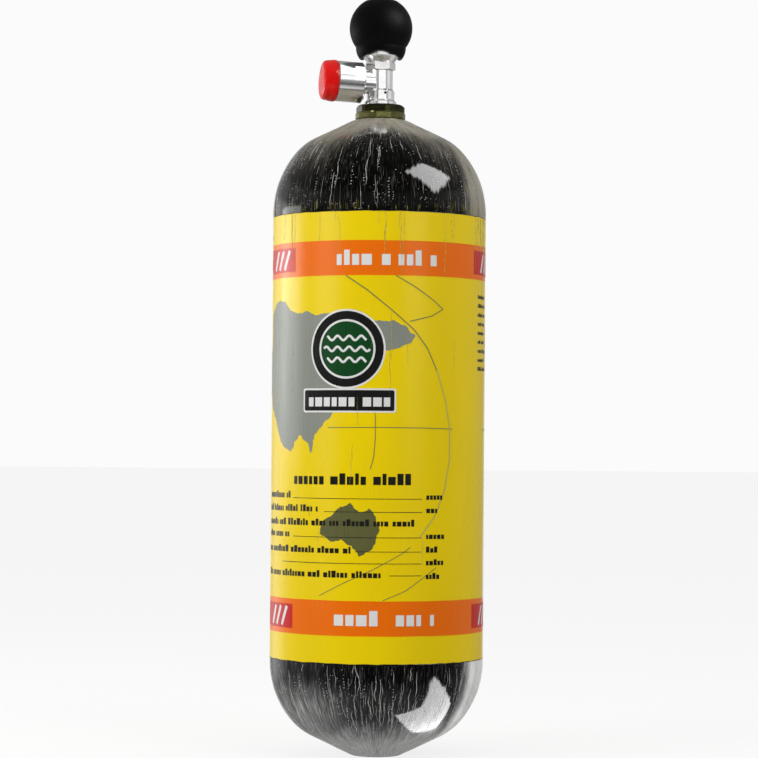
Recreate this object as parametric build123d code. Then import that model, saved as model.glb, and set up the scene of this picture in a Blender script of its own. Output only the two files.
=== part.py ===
from build123d import *
from math import cos, radians, sin, sqrt, tan
import os

# A 10 litre composite breathing-air cylinder with a hand valve, in millimetres.
# The frame's origin is the centre of the base, and +Z runs up the cylinder's axis.
# A height is measured from the base, and an offset inwards from the outer surface.

# --- pressure vessel ---
BODY_RADIUS = 91.0
WALL_LENGTH = 381.0  # of the straight wall between the domes
SHOULDER_RADIUS = 80.0  # first arc of a dome, tangent to the wall
SHOULDER_TURN = 38.0  # degrees turned by the end of that arc
CROWN_RADIUS = 52.0  # second arc
CROWN_TURN = 64.0  # degrees turned by its end, where the cone starts
GLASS_THICKNESS = 1.2
CARBON_THICKNESS = 4.3
LINER_THICKNESS = 3.0
BASE_RADIUS = 21.0
BASE_THICKNESS = 10.8
BASE_INSIDE = 24.0  # radius of the flat floor inside
LABEL_BOTTOM = 83.5
LABEL_TOP = 457.2
LABEL_THICKNESS = 0.3

# A dome is as high as its two arcs and the cone that runs in to the base's radius.
CONE_START = (
    BODY_RADIUS
    - SHOULDER_RADIUS
    + (SHOULDER_RADIUS - CROWN_RADIUS) * cos(radians(SHOULDER_TURN))
    + CROWN_RADIUS * cos(radians(CROWN_TURN))
)
DOME_HEIGHT = (
    (SHOULDER_RADIUS - CROWN_RADIUS) * sin(radians(SHOULDER_TURN))
    + CROWN_RADIUS * sin(radians(CROWN_TURN))
    + (CONE_START - BASE_RADIUS) / tan(radians(CROWN_TURN))
)
WALL_BOTTOM = DOME_HEIGHT
WALL_TOP = WALL_BOTTOM + WALL_LENGTH
NECK_SHOULDER_RADIUS = 24.0  # the winding ends in a flat shoulder of this radius, under the neck ring
NECK_SHOULDER = WALL_TOP + DOME_HEIGHT - (NECK_SHOULDER_RADIUS - BASE_RADIUS) / tan(radians(CROWN_TURN))

# --- neck ---
NECK_RADIUS = 16.0
NECK_TOP = 553.0
NECK_INSIDE = 521.0  # lower end of the neck's thread
NECK_BORE = 9.05
NECK_ROOT = 26.0  # radius at which the neck meets the inside of the dome
O_RING_SEAT_RADIUS = 12.2
O_RING_SEAT_DEPTH = 2.2
NECK_RING_CENTRE = 10.35  # of the O-ring's section
NECK_RING_SECTION = 1.4
RING_RADIUS = 21.5
RING_FLATS = 38.0  # across the six flats
RING_STEP = 548.9
RING_TOP = 555.0
RING_TURN = -14.0  # degrees

# --- valve body ---
STEM_RADIUS = 9.0
STEM_BOTTOM = 530.0
FLANGE_BOTTOM = 555.1
FLANGE_RADIUS = 13.75
COLUMN_FOOT_RADIUS = 12.0
COLUMN_RADIUS = 10.5
COLUMN_TOP = 584.8
CHAMBER_RADIUS = 7.0
CHAMBER_FLOOR = 568.0
BONNET_THREAD_RADIUS = 8.55
BONNET_THREAD_BOTTOM = 579.5
INLET_RADIUS = 2.5
TUBE_SOCKET_RADIUS = 3.05
TUBE_SOCKET_DEPTH = 7.0
VENT_RADIUS = 1.0
VENT_OFFSET = 4.0  # to the right of the front
VENT_HEIGHT = 565.2
VENT_DEPTH = 5.5

# --- side outlet, on an axis that points left, a little forward and a little up ---
OUTLET_HEIGHT = 573.2
OUTLET_YAW = 11.0
OUTLET_TILT = 3.0
BARREL_START = 15.5  # distances along the outlet's axis
BARREL_STEP = 38.5
BARREL_END = 48.5
BARREL_RADIUS = 17.5
LIP_RADIUS = 15.5
OUTLET_NECK_RADIUS = 9.0
THREAD_RADIUS = 10.3  # crest of the G5/8 internal thread
THREAD_DEPTH = 1.0
THREAD_PITCH = 1.814
THREAD_LENGTH = 16.0
SPANNER_FLAT = 16.2  # from the outlet's axis
SPANNER_FLAT_START = 14.0
SPANNER_FLAT_END = 25.0
SPANNER_FLAT_ANGLE = 22.0  # how far the front one is tilted to look upwards
WEB_HALF_WIDTH = 7.5

# --- gland nut, spindles and seat ---
BONNET_FLATS = 22.0
BONNET_TURN = 7.0  # degrees
BONNET_BOTTOM = 585.4
BOWL_BOTTOM = 591.2
BOWL_RIM = 597.5
BOWL_RADIUS = 16.0
BONNET_TOP = 603.0
SPINDLE_RADIUS = 4.0
SPINDLE_TOP = 638.0
SPINDLE_SQUARE = 5.6
SPINDLE_THREAD_RADIUS = 2.5
SPINDLE_RING_HEIGHTS = (592.5, 597.0)
SPINDLE_RING_SECTION = 0.55
COLLAR_RADIUS = 6.5
COLLAR_BOTTOM = 586.0
COLLAR_TOP = 588.0
TONGUE_THICKNESS = 2.8
TONGUE_BOTTOM = 579.0
CARRIER_RADIUS = 6.95
CARRIER_BOTTOM = 569.6
CARRIER_STEP = 574.5
CARRIER_TOP = 582.5
CARRIER_SLOT = 3.0
CARRIER_SLOT_BOTTOM = 575.5
PAD_RADIUS = 4.0
PAD_BOTTOM = 569.0
PAD_TOP = 571.5
RUNNING_GAP = 0.05
WASHER_BORE = 4.1
COLLAR_WASHER_THICKNESS = 0.55
THRUST_WASHER_RADIUS = 10.0
THRUST_WASHER_THICKNESS = 1.0

# --- dip tube ---
TUBE_RADIUS = 3.0
TUBE_BORE = 2.0
TUBE_BOTTOM = 492.0
FILTER_RADIUS = 4.6
FILTER_BORE = 2.6
FILTER_BOTTOM = 480.0
FILTER_TOP = 500.0
FILTER_WALL = 3.0  # thickness of its closed end

# --- handwheel ---
KNOB_RADIUS = 27.0
KNOB_CENTRE = 621.7
KNOB_TOP = 645.5
SKIRT_RADIUS = 21.5
SKIRT_BOTTOM = 595.3
SKIRT_INSIDE = 16.5
SKIRT_CEILING = 605.0
ARCH_RADIUS = 26.0  # the scallop through the skirt, front to back
ARCH_TOP = 600.8
HUB_RADIUS = 12.5
HUB_BOTTOM = 604.2
HUB_TOP = 636.0
POCKET_FLOOR = 622.5
POCKET_RADIUS = 7.0
PLUG_RADIUS = 8.0
SPRING_WIRE_RADIUS = 0.5
SPRING_COIL_RADIUS = 4.6
SPRING_PITCH = 2.2
SPRING_COILED = 8.0  # from the first wire centre to the last
SPRING_WASHER_RADIUS = 6.0
SPRING_WASHER_BOTTOM = 631.6
KNOB_NUT_BOTTOM = 632.6
KNOB_NUT_TOP = 636.6
KNOB_NUT_FLATS = 8.0

# --- dust cap ---
CAP_START = 38.8
CAP_END = 51.8
CAP_RIM_RADIUS = 17.9
CAP_FACE_RADIUS = 16.6
CAP_INSIDE = 15.8
CAP_FLOOR = 49.4


# ---------------------------------------------------------------- helpers
def turned(points):
    """A solid of revolution about +Z, from the (radius, height) corners of its half section."""
    outline = Polyline(*[(radius, 0, height) for radius, height in points], close=True)
    return revolve(make_face(outline), Axis.Z, 360)


def ring(inner, outer, bottom, top):
    return turned([(inner, bottom), (outer, bottom), (outer, top), (inner, top)])


def rod(radius, bottom, top):
    return Pos(0, 0, bottom) * Cylinder(radius, top - bottom, align=(Align.CENTER, Align.CENTER, Align.MIN))


def prism(across_flats, bottom, top, sides=6, turn=0):
    """An upright prism with an even number of flats."""
    corner = across_flats / 2 / cos(radians(180 / sides))
    return Pos(0, 0, bottom) * extrude(RegularPolygon(corner, sides, rotation=turn), top - bottom)


def o_ring(centre_radius, section_radius, height):
    return Pos(0, 0, height) * Torus(centre_radius, section_radius)


def outlet_frame():
    """Local Z runs out along the outlet, local X is up, and local -Y is the front."""
    yaw = radians(OUTLET_YAW)
    tilt = radians(OUTLET_TILT)
    outwards = (-cos(yaw) * cos(tilt), -sin(yaw) * cos(tilt), sin(tilt))
    upwards = (cos(yaw) * sin(tilt), sin(yaw) * sin(tilt), cos(tilt))
    return Plane(origin=(0, 0, OUTLET_HEIGHT), x_dir=upwards, z_dir=outwards).location


def write(node, shape):
    shape.label = node
    export_step(shape, "parts/" + node + ".step")


# ---------------------------------------------------------------- pressure vessel
def dome_points(offset, end_radius):
    """The corners of a dome's half section, as (radius, height over the wall's end).

    It is two tangent arcs and a cone. Each arc is its start, its middle and its end.
    """
    first = radians(SHOULDER_TURN)
    last = radians(CROWN_TURN)
    first_radius = SHOULDER_RADIUS - offset
    last_radius = CROWN_RADIUS - offset
    first_centre = BODY_RADIUS - SHOULDER_RADIUS
    step = SHOULDER_RADIUS - CROWN_RADIUS
    last_centre = (first_centre + step * cos(first), step * sin(first))

    def on_first(angle):
        return (first_centre + first_radius * cos(angle), first_radius * sin(angle))

    def on_last(angle):
        return (last_centre[0] + last_radius * cos(angle), last_centre[1] + last_radius * sin(angle))

    cone_start = on_last(last)
    rise = (cone_start[0] - end_radius) / tan(last)
    shoulder = [on_first(0), on_first(first / 2), on_first(first)]
    crown = [on_last(first), on_last((first + last) / 2), cone_start]
    return shoulder, crown, (end_radius, cone_start[1] + rise)


def side(offset, bottom_end, top_end):
    """One layer's surface from its lower end up to its upper end: the edges and both end points."""

    def place(point, upper):
        return (point[0], 0, WALL_TOP + point[1] if upper else WALL_BOTTOM - point[1])

    edges = []
    ends = []
    for upper, end_radius in ((False, bottom_end), (True, top_end)):
        shoulder, crown, end = dome_points(offset, end_radius)
        edges.append(ThreePointArc(*[place(p, upper) for p in shoulder]))
        edges.append(ThreePointArc(*[place(p, upper) for p in crown]))
        edges.append(Line(place(crown[2], upper), place(end, upper)))
        ends.append(place(end, upper))
    wall = BODY_RADIUS - offset
    edges.append(Line((wall, 0, WALL_BOTTOM), (wall, 0, WALL_TOP)))
    return edges, ends[0], ends[1]


def shoulder_radius(offset):
    """The radius at which a layer's upper cone reaches the neck shoulder."""
    return NECK_SHOULDER_RADIUS - offset / cos(radians(CROWN_TURN))


def between(outer, inner, outer_corners, inner_corners):
    """The solid between two surfaces, closed at the top and the bottom by straight runs."""
    outer_edges, outer_bottom, outer_top = outer
    inner_edges, inner_bottom, inner_top = inner
    top = Polyline(outer_top, *[(r, 0, z) for r, z in outer_corners], inner_top)
    bottom = Polyline(inner_bottom, *[(r, 0, z) for r, z in inner_corners], outer_bottom)
    return revolve(make_face(outer_edges + inner_edges + [*top.edges(), *bottom.edges()]), Axis.Z, 360)


def wound_layer(outer_offset, inner_offset, neck_end):
    """A wound layer that runs from the base boss to the neck shoulder."""
    hole = BASE_RADIUS + RUNNING_GAP
    outer = side(outer_offset, hole, shoulder_radius(outer_offset))
    inner = side(inner_offset, hole, neck_end)
    corners = [] if neck_end == shoulder_radius(inner_offset) else [(neck_end, NECK_SHOULDER)]
    return between(outer, inner, corners, [])


def glass_overwrap():
    """The outer glass layer, with the label's recess turned into its straight wall."""
    layer = wound_layer(0, GLASS_THICKNESS, shoulder_radius(GLASS_THICKNESS))
    return layer - ring(BODY_RADIUS - LABEL_THICKNESS, BODY_RADIUS + 1, LABEL_BOTTOM, LABEL_TOP)


def carbon_overwrap():
    return wound_layer(GLASS_THICKNESS, GLASS_THICKNESS + CARBON_THICKNESS, NECK_RADIUS + RUNNING_GAP)


def label_sleeve():
    return ring(BODY_RADIUS - LABEL_THICKNESS, BODY_RADIUS, LABEL_BOTTOM, LABEL_TOP)


def liner():
    """The seamless vessel: closed thick base, thin wall, and a thick neck bored for the valve."""
    outside = GLASS_THICKNESS + CARBON_THICKNESS
    outer = side(outside, BASE_RADIUS, NECK_RADIUS)
    inner = side(outside + LINER_THICKNESS, BASE_INSIDE, NECK_ROOT)
    neck = [
        (NECK_RADIUS, NECK_TOP),
        (O_RING_SEAT_RADIUS, NECK_TOP),
        (NECK_BORE, NECK_TOP - O_RING_SEAT_DEPTH),
        (NECK_BORE, NECK_INSIDE),
        (NECK_BORE + 4, NECK_INSIDE),
    ]
    base = [(BASE_INSIDE, BASE_THICKNESS), (0, BASE_THICKNESS), (0, 0), (BASE_RADIUS, 0)]
    return between(outer, inner, neck, base)


def neck_ring():
    """A collar screwed on the neck: a round rim below, six flats with turned corners above."""
    rim = turned(
        [
            (NECK_RADIUS + RUNNING_GAP, NECK_SHOULDER),
            (RING_RADIUS - 1.6, NECK_SHOULDER),
            (RING_RADIUS, NECK_SHOULDER + 1.8),
            (RING_RADIUS, RING_STEP - 1.2),
            (RING_RADIUS - 1.0, RING_STEP),
            (NECK_RADIUS + RUNNING_GAP, RING_STEP),
        ]
    )
    envelope = turned(
        [
            (NECK_RADIUS + RUNNING_GAP, RING_STEP - 0.5),
            (RING_RADIUS - 0.4, RING_STEP - 0.5),
            (RING_RADIUS - 0.4, RING_TOP - 1.8),
            (RING_RADIUS - 2.6, RING_TOP),
            (NECK_RADIUS + 0.6, RING_TOP),
            (NECK_RADIUS + RUNNING_GAP, RING_TOP - 0.6),
        ]
    )
    return rim + (envelope & prism(RING_FLATS, RING_STEP - 0.5, RING_TOP, turn=RING_TURN))


def neck_o_ring():
    return o_ring(NECK_RING_CENTRE, NECK_RING_SECTION, NECK_TOP + 0.65)


# ---------------------------------------------------------------- valve body
def valve_column():
    return turned(
        [
            (0, STEM_BOTTOM),
            (STEM_RADIUS - 1, STEM_BOTTOM),
            (STEM_RADIUS, STEM_BOTTOM + 1),
            (STEM_RADIUS, NECK_TOP - 2.5),
            (STEM_RADIUS - 0.3, NECK_TOP - 2.2),
            (STEM_RADIUS - 0.3, FLANGE_BOTTOM),
            (FLANGE_RADIUS - 0.4, FLANGE_BOTTOM),
            (FLANGE_RADIUS, FLANGE_BOTTOM + 0.4),
            (FLANGE_RADIUS, FLANGE_BOTTOM + 2.9),
            (COLUMN_FOOT_RADIUS, FLANGE_BOTTOM + 4.6),
            (COLUMN_FOOT_RADIUS, FLANGE_BOTTOM + 12.0),
            (COLUMN_RADIUS, FLANGE_BOTTOM + 13.8),
            (COLUMN_RADIUS, COLUMN_TOP),
            (0, COLUMN_TOP),
        ]
    )


def outlet_barrel():
    """The outlet's round barrel with its neck, shoulder, step and lip, in the outlet's frame."""
    edge = 0.5
    shoulder = 1.6
    return turned(
        [
            (0, 2),
            (OUTLET_NECK_RADIUS, 2),
            (OUTLET_NECK_RADIUS, BARREL_START - shoulder),
            (BARREL_RADIUS - shoulder, BARREL_START),
            (BARREL_RADIUS, BARREL_START + shoulder),
            (BARREL_RADIUS, BARREL_STEP - edge),
            (BARREL_RADIUS - edge, BARREL_STEP),
            (LIP_RADIUS, BARREL_STEP),
            (LIP_RADIUS, BARREL_END - edge),
            (LIP_RADIUS - edge, BARREL_END),
            (0, BARREL_END),
        ]
    )


def outlet_web():
    """The forged web over the barrel's neck, up to the gland nut's seat, in the outlet's frame."""
    height = COLUMN_TOP - OUTLET_HEIGHT - 1.4
    outline = Polyline(
        (0, 0, 2),
        (height, 0, 2),
        (height + 0.6, 0, BARREL_START + 3),
        (0, 0, BARREL_START + 3),
        close=True,
    )
    web = extrude(make_face(outline), WEB_HALF_WIDTH, dir=(0, 1, 0), both=True)
    upper = web.edges().filter_by(Axis.Y, reverse=True).group_by(Axis.X)[-1]
    long_edges = [e for e in upper if e.length > 10]
    return fillet(long_edges, 4.0)


def outlet_thread():
    """The space of the outlet's thread: a blind bore with a V groove for each turn."""
    bottom = BARREL_END - THREAD_LENGTH
    crest = 0.35
    points = [(0, bottom), (THREAD_RADIUS, bottom)]
    turns = int((THREAD_LENGTH - 3.0) / THREAD_PITCH)
    for turn in range(turns):
        start = bottom + 2.0 + turn * THREAD_PITCH
        points.append((THREAD_RADIUS, start))
        points.append((THREAD_RADIUS + THREAD_DEPTH, start + (THREAD_PITCH - crest) / 2))
        points.append((THREAD_RADIUS, start + THREAD_PITCH - crest))
    points.append((THREAD_RADIUS, BARREL_END + 1))
    points.append((0, BARREL_END + 1))
    return turned(points)


def spanner_flats():
    """The two slabs that the barrel's spanner flats are cut by, in the outlet's frame."""
    slab = 6.0
    length = SPANNER_FLAT_END - SPANNER_FLAT_START
    middle = SPANNER_FLAT_END - length / 2
    cutter = Pos(0, -SPANNER_FLAT - slab / 2, middle) * Box(50, slab, length)
    return [Rot(0, 0, SPANNER_FLAT_ANGLE + half) * cutter for half in (0, 180)]


def valve_passages():
    """The tube's counterbore, the inlet, the seat's ring, the chamber and the gland nut's thread."""
    seat_inner = INLET_RADIUS + 0.3
    seat_outer = 3.8
    return turned(
        [
            (0, STEM_BOTTOM - 1),
            (TUBE_SOCKET_RADIUS, STEM_BOTTOM - 1),
            (TUBE_SOCKET_RADIUS, STEM_BOTTOM + TUBE_SOCKET_DEPTH),
            (INLET_RADIUS, STEM_BOTTOM + TUBE_SOCKET_DEPTH),
            (INLET_RADIUS, PAD_BOTTOM - 0.3),
            (seat_inner, PAD_BOTTOM),
            (seat_outer - 0.3, PAD_BOTTOM),
            (seat_outer, CHAMBER_FLOOR),
            (CHAMBER_RADIUS, CHAMBER_FLOOR),
            (CHAMBER_RADIUS, BONNET_THREAD_BOTTOM),
            (BONNET_THREAD_RADIUS, BONNET_THREAD_BOTTOM),
            (BONNET_THREAD_RADIUS, COLUMN_TOP + 1),
            (0, COLUMN_TOP + 1),
        ]
    )


def valve_body():
    frame = outlet_frame()
    forging = valve_column() + frame * (outlet_barrel() + outlet_web())
    for cutter in spanner_flats():
        forging -= frame * cutter
    forging -= valve_passages()
    forging -= frame * outlet_thread()
    forging -= frame * rod(INLET_RADIUS, COLUMN_RADIUS - 6, BARREL_END - THREAD_LENGTH + 1)
    vent = Cylinder(VENT_RADIUS, 2 * VENT_DEPTH)
    return forging - Pos(VENT_OFFSET, -COLUMN_FOOT_RADIUS, VENT_HEIGHT) * Rot(90, 0, 0) * vent


# ---------------------------------------------------------------- valve internals
def dip_tube():
    return ring(TUBE_BORE, TUBE_RADIUS, TUBE_BOTTOM, STEM_BOTTOM + TUBE_SOCKET_DEPTH)


def dip_tube_filter():
    """A sintered thimble pushed over the tube's end."""
    thimble = rod(FILTER_RADIUS, FILTER_BOTTOM, FILTER_TOP)
    thimble -= rod(TUBE_RADIUS + RUNNING_GAP, TUBE_BOTTOM, FILTER_TOP + 1)
    thimble -= rod(FILTER_BORE, FILTER_BOTTOM + FILTER_WALL, TUBE_BOTTOM + 1)
    return fillet(thimble.edges().group_by(Axis.Z)[0], 2.0)


def bonnet_nut():
    """The gland nut: thread below, six flats, then a bowl that flares out under the handwheel."""
    cavity = CHAMBER_RADIUS + RUNNING_GAP
    ceiling = COLLAR_TOP + 0.6
    flats = prism(BONNET_FLATS, BONNET_BOTTOM, BOWL_BOTTOM + 1, turn=BONNET_TURN)
    corner = BONNET_FLATS / 2 / cos(radians(30))
    turned_corners = turned(
        [
            (0, BONNET_BOTTOM),
            (corner - 1.1, BONNET_BOTTOM),
            (corner, BONNET_BOTTOM + 0.7),
            (corner, BOWL_BOTTOM + 1),
            (0, BOWL_BOTTOM + 1),
        ]
    )
    shape = turned(
        [
            (0, BONNET_THREAD_BOTTOM + 0.1),
            (BONNET_THREAD_RADIUS - RUNNING_GAP, BONNET_THREAD_BOTTOM + 0.1),
            (BONNET_THREAD_RADIUS - RUNNING_GAP, BONNET_BOTTOM),
            (BONNET_FLATS / 2 - 0.3, BONNET_BOTTOM),
            (BONNET_FLATS / 2 - 0.3, BOWL_BOTTOM),
            (BOWL_RADIUS - 0.5, BOWL_RIM - 0.8),
            (BOWL_RADIUS, BOWL_RIM),
            (BOWL_RADIUS, BONNET_TOP - 0.8),
            (BOWL_RADIUS - 0.8, BONNET_TOP),
            (0, BONNET_TOP),
        ]
    )
    hollow = turned(
        [
            (0, BONNET_THREAD_BOTTOM - 1),
            (cavity, BONNET_THREAD_BOTTOM - 1),
            (cavity, ceiling),
            (SPINDLE_RADIUS + RUNNING_GAP, ceiling),
            (SPINDLE_RADIUS + RUNNING_GAP, BONNET_TOP + 1),
            (0, BONNET_TOP + 1),
        ]
    )
    return shape + (flats & turned_corners) - hollow


def bonnet_washer():
    return ring(BONNET_THREAD_RADIUS + 0.1, COLUMN_RADIUS, COLUMN_TOP, BONNET_BOTTOM)


def upper_spindle():
    """Drive tongue, collar, round shaft with two O-ring grooves, square and top thread."""
    groove_radius = SPINDLE_RADIUS - 1.1
    half_groove = 0.8
    points = [(0, COLLAR_BOTTOM), (COLLAR_RADIUS, COLLAR_BOTTOM), (COLLAR_RADIUS, COLLAR_TOP)]
    points.append((SPINDLE_RADIUS, COLLAR_TOP))
    for height in SPINDLE_RING_HEIGHTS:
        points.append((SPINDLE_RADIUS, height - half_groove))
        points.append((groove_radius, height - half_groove))
        points.append((groove_radius, height + half_groove))
        points.append((SPINDLE_RADIUS, height + half_groove))
    points.append((SPINDLE_RADIUS, HUB_BOTTOM - 0.1))
    points.append((0, HUB_BOTTOM - 0.1))
    square = prism(SPINDLE_SQUARE, HUB_BOTTOM - 0.1, POCKET_FLOOR - 0.5, sides=4)
    thread = rod(SPINDLE_THREAD_RADIUS, POCKET_FLOOR - 0.5, SPINDLE_TOP)
    thread = chamfer(thread.edges().group_by(Axis.Z)[-1], 0.5)
    tongue_width = 2 * CARRIER_RADIUS - 2
    tongue_height = COLLAR_BOTTOM - TONGUE_BOTTOM
    tongue = Pos(0, 0, TONGUE_BOTTOM + tongue_height / 2) * Box(tongue_width, TONGUE_THICKNESS, tongue_height)
    return turned(points) + square + thread + tongue


def spindle_o_rings():
    centre = SPINDLE_RADIUS - SPINDLE_RING_SECTION
    return Compound(children=[o_ring(centre, SPINDLE_RING_SECTION, height) for height in SPINDLE_RING_HEIGHTS])


def collar_washer():
    return ring(WASHER_BORE, COLLAR_RADIUS, COLLAR_TOP, COLLAR_TOP + COLLAR_WASHER_THICKNESS)


def seat_carrier():
    """The lower spindle: a threaded head with a cross slot, and a skirt that holds the seat pad."""
    body = turned(
        [
            (0, CARRIER_BOTTOM),
            (CARRIER_RADIUS - 1.6, CARRIER_BOTTOM),
            (CARRIER_RADIUS - 1.6, CARRIER_STEP),
            (CARRIER_RADIUS, CARRIER_STEP + 0.6),
            (CARRIER_RADIUS, CARRIER_TOP),
            (0, CARRIER_TOP),
        ]
    )
    pocket = rod(PAD_RADIUS, CARRIER_BOTTOM - 1, PAD_TOP)
    slot_height = CARRIER_TOP - CARRIER_SLOT_BOTTOM
    slot = Pos(0, 0, CARRIER_SLOT_BOTTOM + slot_height / 2) * Box(20, CARRIER_SLOT, slot_height)
    return body - pocket - slot


def seat_pad():
    return rod(PAD_RADIUS, PAD_BOTTOM, PAD_TOP)


def thrust_washer():
    return ring(WASHER_BORE, THRUST_WASHER_RADIUS, BONNET_TOP, BONNET_TOP + THRUST_WASHER_THICKNESS)


# ---------------------------------------------------------------- handwheel
def knob_hub():
    """The moulded core: square hole below, spring pocket above."""
    hub = rod(HUB_RADIUS, HUB_BOTTOM, HUB_TOP)
    hub -= rod(POCKET_RADIUS, POCKET_FLOOR, HUB_TOP + 1)
    return hub - prism(SPINDLE_SQUARE + 0.1, HUB_BOTTOM - 1, POCKET_FLOOR + 1, sides=4)


def knob_grip():
    """The rubber ball with its flat top and its skirt, arched at the front and the back."""
    waist = KNOB_CENTRE - sqrt(KNOB_RADIUS**2 - SKIRT_RADIUS**2)
    top_radius = sqrt(KNOB_RADIUS**2 - (KNOB_TOP - KNOB_CENTRE) ** 2)
    rim_radius = SKIRT_INSIDE + 1.7
    outline = [
        Line((0, 0, KNOB_TOP), (top_radius, 0, KNOB_TOP)),
        ThreePointArc((top_radius, 0, KNOB_TOP), (KNOB_RADIUS, 0, KNOB_CENTRE), (SKIRT_RADIUS, 0, waist)),
        ThreePointArc(
            (SKIRT_RADIUS, 0, waist), (SKIRT_RADIUS - 0.7, 0, waist - 5), (rim_radius, 0, SKIRT_BOTTOM)
        ),
        Line((rim_radius, 0, SKIRT_BOTTOM), (0, 0, SKIRT_BOTTOM)),
        Line((0, 0, SKIRT_BOTTOM), (0, 0, KNOB_TOP)),
    ]
    ball = revolve(make_face(outline), Axis.Z, 360)
    ball = fillet(ball.edges().group_by(Axis.Z)[-1], 4.0)
    ball -= rod(SKIRT_INSIDE, SKIRT_BOTTOM - 1, SKIRT_CEILING)
    ball -= rod(HUB_RADIUS, SKIRT_CEILING - 1, HUB_TOP)
    ball -= rod(PLUG_RADIUS, HUB_TOP - 1, KNOB_TOP + 1)
    arch = Pos(0, 0, ARCH_TOP - ARCH_RADIUS) * Rot(90, 0, 0) * Cylinder(ARCH_RADIUS, 60)
    return ball - arch


def knob_spring():
    """A coil spring that lifts the handwheel against its nut."""
    start = (0, 0, POCKET_FLOOR + SPRING_WIRE_RADIUS)
    coil = Helix(pitch=SPRING_PITCH, height=SPRING_COILED, radius=SPRING_COIL_RADIUS, center=start)
    section = Plane(origin=coil @ 0, z_dir=coil % 0) * Circle(SPRING_WIRE_RADIUS)
    return sweep(section, path=coil)


def spring_washer():
    return ring(SPINDLE_THREAD_RADIUS + 0.1, SPRING_WASHER_RADIUS, SPRING_WASHER_BOTTOM, KNOB_NUT_BOTTOM)


def knob_nut():
    bore = rod(SPINDLE_THREAD_RADIUS + RUNNING_GAP, KNOB_NUT_BOTTOM - 1, KNOB_NUT_TOP + 1)
    return prism(KNOB_NUT_FLATS, KNOB_NUT_BOTTOM, KNOB_NUT_TOP) - bore


def knob_plug():
    """A push-in plug, flush with the top of the grip, with a skirt in the hub's pocket."""
    disc_radius = PLUG_RADIUS - RUNNING_GAP
    skirt_radius = POCKET_RADIUS - RUNNING_GAP
    return turned(
        [
            (skirt_radius - 1.2, HUB_TOP - 2),
            (skirt_radius, HUB_TOP - 2),
            (skirt_radius, HUB_TOP),
            (disc_radius, HUB_TOP),
            (disc_radius, KNOB_TOP - 1.2),
            (disc_radius - 0.8, KNOB_TOP - 0.5),
            (0, KNOB_TOP - 0.2),
            (0, HUB_TOP + 3),
            (skirt_radius - 1.2, HUB_TOP + 3),
        ]
    )


# ---------------------------------------------------------------- dust cap
def dust_cap():
    """A push-on hood over the outlet's lip, with a thicker rim and a soft outer edge."""
    hood = turned(
        [
            (0, CAP_END),
            (CAP_FACE_RADIUS - 3.0, CAP_END),
            (CAP_FACE_RADIUS - 0.6, CAP_END - 1.1),
            (CAP_FACE_RADIUS + 0.3, CAP_END - 3.0),
            (CAP_RIM_RADIUS - 0.2, CAP_START + 5.0),
            (CAP_RIM_RADIUS, CAP_START + 3.6),
            (CAP_RIM_RADIUS, CAP_START + 1.4),
            (CAP_RIM_RADIUS - 0.8, CAP_START),
            (CAP_INSIDE, CAP_START),
            (CAP_INSIDE, CAP_FLOOR),
            (0, CAP_FLOOR),
        ]
    )
    return outlet_frame() * hood


def cap_gasket():
    return outlet_frame() * rod(CAP_INSIDE, BARREL_END + 0.1, CAP_FLOOR)


NODES = {
    "liner": liner,
    "carbon_overwrap": carbon_overwrap,
    "glass_overwrap": glass_overwrap,
    "label_sleeve": label_sleeve,
    "neck_ring": neck_ring,
    "neck_o_ring": neck_o_ring,
    "valve_body": valve_body,
    "dip_tube": dip_tube,
    "dip_tube_filter": dip_tube_filter,
    "bonnet_nut": bonnet_nut,
    "bonnet_washer": bonnet_washer,
    "upper_spindle": upper_spindle,
    "spindle_o_rings": spindle_o_rings,
    "collar_washer": collar_washer,
    "seat_carrier": seat_carrier,
    "seat_pad": seat_pad,
    "thrust_washer": thrust_washer,
    "knob_hub": knob_hub,
    "knob_grip": knob_grip,
    "knob_spring": knob_spring,
    "spring_washer": spring_washer,
    "knob_nut": knob_nut,
    "knob_plug": knob_plug,
    "dust_cap": dust_cap,
    "cap_gasket": cap_gasket,
}

os.makedirs("parts", exist_ok=True)
for name, build in NODES.items():
    write(name, build())
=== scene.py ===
import math
import random

import bpy
from mathutils import Matrix, Vector, geometry, noise
from mathutils.bvhtree import BVHTree

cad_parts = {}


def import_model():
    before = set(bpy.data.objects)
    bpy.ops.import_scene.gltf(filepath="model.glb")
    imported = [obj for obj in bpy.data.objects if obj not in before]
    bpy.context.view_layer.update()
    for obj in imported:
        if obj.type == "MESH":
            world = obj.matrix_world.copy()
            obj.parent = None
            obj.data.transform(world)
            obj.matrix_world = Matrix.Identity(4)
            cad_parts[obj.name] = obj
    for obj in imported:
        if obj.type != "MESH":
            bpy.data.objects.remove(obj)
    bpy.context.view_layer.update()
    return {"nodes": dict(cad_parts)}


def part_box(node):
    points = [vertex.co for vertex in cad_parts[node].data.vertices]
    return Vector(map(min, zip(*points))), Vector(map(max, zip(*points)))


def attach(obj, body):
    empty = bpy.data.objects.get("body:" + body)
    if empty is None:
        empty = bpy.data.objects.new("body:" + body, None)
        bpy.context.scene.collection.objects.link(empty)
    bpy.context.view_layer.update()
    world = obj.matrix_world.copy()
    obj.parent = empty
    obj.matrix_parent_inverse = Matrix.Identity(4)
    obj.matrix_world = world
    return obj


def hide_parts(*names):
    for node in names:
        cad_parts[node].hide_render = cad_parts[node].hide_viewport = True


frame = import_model()
nodes = frame["nodes"]
rng = random.Random(7)

MM = 0.001
BODY_RADIUS = 0.091
BODY_MIDDLE = 0.27  # between the two domes
RING_STEP = 0.5489  # where the neck ring's round rim becomes its hexagon
VENT_X = 0.0040  # the blind vent at the foot of the valve's column
VENT_Z = 0.5652
VENT_RADIUS = 0.00108


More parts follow.
